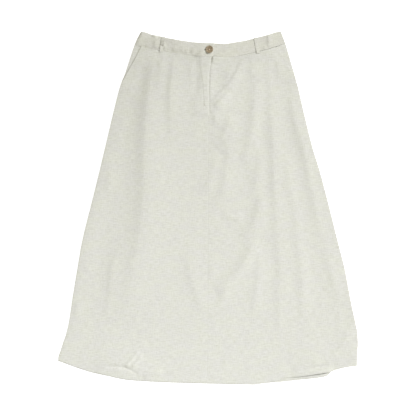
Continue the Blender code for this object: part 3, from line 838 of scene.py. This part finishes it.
def over_band(loop):
    """How high a loop's under side lies over the band."""
    def under(across, down):
        base = band_left_under(across, down) + BAND + GAP / 2
        run, fall = loop.to_across - loop.across, loop.to_down - loop.down
        middle = loop.across + run * (down - loop.down) / fall
        return base + curve(loop.arch, down) + curve(loop.tilt, down) * (middle - across)
    return under


for loop in LOOPS:
    half_width = LOOP_WIDTH / 2
    upper_right = (loop.across - half_width, loop.down)
    upper_left = (loop.across + half_width, loop.down)
    lower_right = (loop.to_across - half_width, loop.to_down)
    lower_left = (loop.to_across + half_width, loop.to_down)
    loop_grid = patch(
        straight_edge(upper_right, upper_left),
        straight_edge(lower_right, lower_left),
        straight_edge(upper_right, lower_right),
        straight_edge(upper_left, lower_left),
        LOOP_STEP,
    )
    belt_loop = add_wall("loop_" + loop.side, loop_grid, over_band(loop), LOOP_THICKNESS)
    dress(belt_loop, linen_band, "linen_band", "belt_loop_" + loop.side)


# The thread: cotton in the colour of the cloth. It is stitched along the fly's facing in the shape
# of a J, with a bar tack across it where it turns.
STITCH_PITCH = 3.0
STITCH = (1.2, 0.3, 0.22)  # half its length, width and height
STITCH_START = 9.0  # how far below the top of its line the stitching starts
LINE_POINTS = 300  # of the line that the stitches follow
TACK = (-10.0, 197.9)  # how far across and down its middle is
TACK_HALF = 2.6
TACK_PITCH = 0.55
TACK_SLANT = 0.5  # how far it runs across for each millimetre down
TACK_TURN = 0.5  # how far its stitches are turned from straight across, in radians
TACK_RISE = 0.15  # how much higher than the other stitches it is


def make_cotton(name, lit, dim):
    """Cotton thread, in two shades of its fibres."""
    material = bpy.data.materials.new(name)
    material.use_nodes = True
    tree = material.node_tree
    shader = tree.nodes["Principled BSDF"]
    shader.inputs["Roughness"].default_value = 0.8
    shader.inputs["Sheen Weight"].default_value = 0.1
    spot = add_node(tree, "TexCoord", {}).outputs["Object"]
    fibres = add_node(tree, "TexNoise", {"Vector": spot, "Scale": 1500.0, "Detail": 2.0}).outputs["Fac"]
    tint = add_node(tree, "Mix", {0: fibres, 6: (*dim, 1.0), 7: (*lit, 1.0)}, data_type="RGBA").outputs[2]
    tree.links.new(tint, shader.inputs["Base Color"])
    return material


cotton = make_cotton("cotton", (0.64, 0.62, 0.53), (0.52, 0.5, 0.41))


def start_mesh(name):
    """Opens a new empty object in edit mode, for primitives to be joined in it."""
    bpy.ops.object.select_all(action="DESELECT")
    bpy.ops.mesh.primitive_uv_sphere_add(location=(0.0, 0.0, 0.0))
    thing = bpy.context.object
    thing.name = name
    bpy.ops.object.mode_set(mode="EDIT")
    bpy.ops.mesh.select_all(action="SELECT")
    bpy.ops.mesh.delete(type="VERT")
    return thing


def add_stitch(middle, size, turn):
    """Adds one stitch to the open object: a long bead of thread, half sunk in what it crosses."""
    bpy.ops.mesh.primitive_uv_sphere_add(
        segments=8,
        ring_count=6,
        radius=MM,
        location=middle.tolist(),
        rotation=(0.0, 0.0, turn),
        scale=size,
    )


def front_top(across, down):
    """How high the right front's upper side is at one point."""
    return front_right_under(np.array([across]), np.array([down]))[0] + CLOTH


fly_down = np.linspace(FLY_STITCHING[0][0] + STITCH_START, FLY_STITCHING[-1][0], LINE_POINTS)
fly_across = curve(FLY_STITCHING, fly_down)
fly_run = np.concatenate(([0.0], np.cumsum(np.hypot(np.diff(fly_down), np.diff(fly_across)))))
stitches = start_mesh("fly_stitches")
for run in np.arange(STITCH_PITCH, fly_run[-1], STITCH_PITCH):
    across, down = np.interp(run, fly_run, fly_across), np.interp(run, fly_run, fly_down)
    slope = np.interp(run, fly_run, np.gradient(fly_across, fly_down))
    add_stitch(place(across, down, front_top(across, down)), STITCH, math.atan2(-1.0, float(slope)))
for off in np.arange(-TACK_HALF, TACK_HALF, TACK_PITCH):
    across, down = TACK[0] + off * TACK_SLANT, TACK[1] + off
    add_stitch(place(across, down, front_top(across, down) + TACK_RISE), STITCH, TACK_TURN)
bpy.ops.object.mode_set(mode="OBJECT")
bpy.ops.object.shade_smooth()
dress(stitches, cotton, "linen_band")


# The buttonhole: a slit in the right waistband with a round eye at its outer end, where the button's
# thread pulls. It is edged all around with close thread.
EYE_ACROSS = -8.35
EYE_DOWN = 50.2
EYE_RADIUS = 1.3
EDGING = 0.4
SLIT_LENGTH = 19.0
SLIT_NARROW = 0.4  # the share of the eye's width that its inner end has
CUT_DEPTH = 9.0
PAST_MIDDLE = 0.1  # how far past the middle of the eye its inner half begins


def band_top(across, down):
    """How high the right band's upper side is at one point."""
    return float(band_right_under(np.array([across]), np.array([down]))[0]) + BAND


def draw_out(thing):
    """Pulls the inner half of a round thing out to the end of the slit."""
    bpy.ops.object.mode_set(mode="EDIT")
    bpy.ops.mesh.select_mode(type="VERT")
    bpy.ops.mesh.select_all(action="DESELECT")
    bpy.ops.object.mode_set(mode="OBJECT")
    for vertex in thing.data.vertices:
        vertex.select = vertex.co.x > PAST_MIDDLE * MM
    bpy.ops.object.mode_set(mode="EDIT")
    bpy.ops.transform.resize(value=(1.0, SLIT_NARROW, 1.0), center_override=(0.0, 0.0, 0.0))
    bpy.ops.transform.translate(value=(SLIT_LENGTH * MM, 0.0, 0.0))
    bpy.ops.mesh.select_all(action="SELECT")
    middle = place(EYE_ACROSS, EYE_DOWN, band_top(EYE_ACROSS, EYE_DOWN))
    bpy.ops.transform.translate(value=middle.tolist())
    bpy.ops.object.mode_set(mode="OBJECT")


bpy.ops.object.select_all(action="DESELECT")
bpy.ops.mesh.primitive_cylinder_add(vertices=24, radius=(EYE_RADIUS - EDGING / 2) * MM, depth=CUT_DEPTH * MM)
cutter = bpy.context.object
draw_out(cutter)
right_band = bpy.data.objects["band_right"]
slit = right_band.modifiers.new("slit", "BOOLEAN")
slit.operation = "DIFFERENCE"
slit.object = cutter
bpy.context.view_layer.objects.active = right_band
bpy.ops.object.modifier_apply(modifier=slit.name)
bpy.data.objects.remove(cutter)

bpy.ops.object.select_all(action="DESELECT")
bpy.ops.mesh.primitive_torus_add(
    major_segments=36,
    minor_segments=8,
    major_radius=EYE_RADIUS * MM,
    minor_radius=EDGING * MM,
)
edging = bpy.context.object
edging.name = "buttonhole_edging"
draw_out(edging)
bpy.ops.object.shade_smooth()
dress(edging, cotton, "linen_band")


# The button: turned from horn, with rounded edges, a sunk face inside its rim and four holes.
# It is sewn to the left band, comes through the buttonhole, and lies on the right band.
BUTTON_RADIUS = 10.2
BUTTON_THICKNESS = 3.6
BUTTON_EDGE = 0.9  # how far its edges are rounded
BUTTON_RIM = 1.8
BUTTON_DISH = 0.5  # how deep its face is sunk
DISH_ROUND = (0.25, 0.05)  # how wide the round foot of the rim is, and how deep
HOLE_RADIUS = 1.0
HOLE_OFFSET = 1.8  # of a hole from the middle, both ways
SHANK = 0.5  # how far the button stands off the band on its thread
TILT = math.radians(6)  # how far it leans both ways
BUTTON_ACROSS = 3.8
BUTTON_DOWN = 49.6
FLAT = 0.999  # how far up or down the normal of a face points at least, where it lies flat

# The horn: the share of its grain at which each of its colours lies.
Grade = namedtuple("Grade", "share colour")
HORN_DARK = Grade(0.3, (0.20, 0.15, 0.085, 1.0))
HORN_MIDDLE = Grade(0.5, (0.33, 0.255, 0.165, 1.0))
HORN_LIGHT = Grade(0.72, (0.46, 0.37, 0.25, 1.0))
HORN_GRAIN = (160.0, 420.0, 160.0)  # its waves in a metre, each way

horn = bpy.data.materials.new("horn")
horn.use_nodes = True
tree = horn.node_tree
shader = tree.nodes["Principled BSDF"]
shader.inputs["Roughness"].default_value = 0.34
shader.inputs["Coat Weight"].default_value = 0.25
shader.inputs["Coat Roughness"].default_value = 0.2
spot = add_node(tree, "TexCoord", {}).outputs["Object"]
turned = add_node(tree, "Mapping", {"Vector": spot, "Rotation": (0.0, 0.0, 0.7), "Scale": HORN_GRAIN})
grain_inputs = {"Vector": turned.outputs["Vector"], "Scale": 1.0, "Detail": 4.0, "Distortion": 0.8}
marble = add_node(tree, "TexNoise", grain_inputs)
grade = add_node(tree, "ValToRGB", {"Fac": marble.outputs["Fac"]})
ramp = grade.color_ramp
ramp.elements[0].position, ramp.elements[0].color = HORN_DARK
ramp.elements[1].position, ramp.elements[1].color = HORN_LIGHT
ramp.elements.new(HORN_MIDDLE.share).color = HORN_MIDDLE.colour
tree.links.new(grade.outputs["Color"], shader.inputs["Base Color"])
fine = add_node(tree, "TexNoise", {"Vector": spot, "Scale": 900.0, "Detail": 3.0})
dent = add_node(tree, "Bump", {"Height": fine.outputs["Fac"], "Strength": 0.25, "Distance": 0.05 * MM})
tree.links.new(dent.outputs["Normal"], shader.inputs["Normal"])


def keep_only(thing, chosen):
    """Selects in edit mode only the faces for which chosen() says so."""
    bpy.ops.mesh.select_mode(type="FACE")
    bpy.ops.mesh.select_all(action="DESELECT")
    bpy.ops.object.mode_set(mode="OBJECT")
    for face in thing.data.polygons:
        face.select = chosen(face)
    bpy.ops.object.mode_set(mode="EDIT")


bpy.ops.object.select_all(action="DESELECT")
bpy.ops.mesh.primitive_cylinder_add(vertices=64, radius=BUTTON_RADIUS * MM, depth=BUTTON_THICKNESS * MM)
button = bpy.context.object
button.name = "horn_button"
bpy.ops.object.mode_set(mode="EDIT")
keep_only(button, lambda face: abs(face.normal.z) > FLAT)
bpy.ops.mesh.bevel(offset=BUTTON_EDGE * MM, segments=4, affect="EDGES")
keep_only(button, lambda face: face.normal.z > FLAT)
bpy.ops.mesh.inset(thickness=BUTTON_RIM * MM, depth=0.0)
bpy.ops.mesh.inset(thickness=BUTTON_DISH * MM, depth=-BUTTON_DISH * MM)
bpy.ops.mesh.inset(thickness=DISH_ROUND[0] * MM, depth=-DISH_ROUND[1] * MM)
bpy.ops.object.mode_set(mode="OBJECT")
for across in (-HOLE_OFFSET, HOLE_OFFSET):
    for down in (-HOLE_OFFSET, HOLE_OFFSET):
        bpy.ops.object.select_all(action="DESELECT")
        bpy.ops.mesh.primitive_cylinder_add(
            vertices=20,
            radius=HOLE_RADIUS * MM,
            depth=2 * BUTTON_THICKNESS * MM,
            location=(across * MM, down * MM, 0.0),
        )
        drill = bpy.context.object
        cut = button.modifiers.new("hole", "BOOLEAN")
        cut.operation = "DIFFERENCE"
        cut.object = drill
        bpy.context.view_layer.objects.active = button
        bpy.ops.object.modifier_apply(modifier=cut.name)
        bpy.data.objects.remove(drill)
bpy.ops.object.select_all(action="DESELECT")
button.select_set(True)
bpy.context.view_layer.objects.active = button
bpy.ops.object.shade_smooth_by_angle(angle=SHARP)


def sew_on(thing):
    """Tilts what lies at the origin as the button leans, and takes it to the button's place."""
    over = band_top(BUTTON_ACROSS, BUTTON_DOWN) + SHANK
    middle = place(BUTTON_ACROSS, BUTTON_DOWN, over + BUTTON_THICKNESS / 2)
    pivot = (0.0, 0.0, 0.0)
    bpy.ops.object.mode_set(mode="EDIT")
    bpy.ops.mesh.select_all(action="SELECT")
    bpy.ops.transform.rotate(value=TILT, orient_axis="X", orient_type="GLOBAL", center_override=pivot)
    bpy.ops.transform.rotate(value=TILT, orient_axis="Y", orient_type="GLOBAL", center_override=pivot)
    bpy.ops.transform.translate(value=middle.tolist())
    bpy.ops.object.mode_set(mode="OBJECT")


sew_on(button)
dress(button, horn, "horn", "button")


# The button's thread: strong brown cotton, which sews the button to the waistband.
# It goes up and down through the four holes, and crosses between them on the sunk face.
CROSSING = (2.75, 0.65, 0.45)  # half its length, width and height

brown_cotton = make_cotton("brown_cotton", (0.86, 0.68, 0.5), (0.74, 0.57, 0.4))
crossing = start_mesh("button_thread")
for turn in (math.pi / 4, -math.pi / 4):
    add_stitch(np.array((0.0, 0.0, (BUTTON_THICKNESS / 2 - BUTTON_DISH) * MM)), CROSSING, turn)
bpy.ops.object.mode_set(mode="OBJECT")
sew_on(crossing)
bpy.ops.object.shade_smooth()
dress(crossing, brown_cotton, "linen_band")


# The floor is plain and nearly white. A large soft lamp stands beyond the skirt's upper left corner, as
# its wearer has it, and a weaker one fills in from its hem. The camera looks straight down on the skirt.
# Lengths here are in metres, apart from the camera's lens and sensor.
FLOOR_SIZE = 8.0
FLOOR_HEIGHT = -0.0003  # just under the skirt

bpy.ops.object.select_all(action="DESELECT")
bpy.ops.mesh.primitive_plane_add(size=FLOOR_SIZE, location=(0, 0, FLOOR_HEIGHT))
floor = bpy.context.object
floor.name = "floor"
white = bpy.data.materials.new("floor_white")
white.use_nodes = True
paint = white.node_tree.nodes["Principled BSDF"]
paint.inputs["Base Color"].default_value = (0.8, 0.8, 0.8, 1.0)
paint.inputs["Roughness"].default_value = 0.9
paint.inputs["Emission Color"].default_value = (1.0, 1.0, 1.0, 1.0)
paint.inputs["Emission Strength"].default_value = 0.8
floor.data.materials.append(white)
floor.visible_diffuse = False  # its own light doesn't reach the skirt

Lamp = namedtuple("Lamp", "name place size power colour")
LAMPS = [
    Lamp("key", (5.0, 2.9, 3.6), 3.4, 465.0, (0.945, 0.967, 1.03)),
    Lamp("fill", (-0.22, -0.9, 1.3), 1.2, 10.8, (0.885, 0.92, 1.03)),
]
for lamp in LAMPS:
    light = bpy.data.lights.new(lamp.name, "AREA")
    light.size = lamp.size
    light.energy = lamp.power
    light.color = lamp.colour
    stand = bpy.data.objects.new(lamp.name, light)
    bpy.context.scene.collection.objects.link(stand)
    stand.location = lamp.place
    stand.rotation_euler = (-stand.location).to_track_quat("-Z", "Y").to_euler()

world = bpy.data.worlds.new("studio")
bpy.context.scene.world = world
world.use_nodes = True
world.node_tree.nodes["Background"].inputs["Color"].default_value = (1.0, 0.96, 0.8, 1.0)
world.node_tree.nodes["Background"].inputs["Strength"].default_value = 0.34

VIEW_WIDTH = 1.1232  # what the camera sees across
LENS = 85.0  # in millimetres, as the sensor
SENSOR = 36.0

lens = bpy.data.cameras.new("camera")
lens.lens = LENS
lens.sensor_width = SENSOR
camera = bpy.data.objects.new("camera", lens)
bpy.context.scene.collection.objects.link(camera)
camera.location = (0.0, 0.0, VIEW_WIDTH * LENS / SENSOR)
bpy.context.scene.camera = camera
bpy.context.scene.view_settings.view_transform = "Standard"
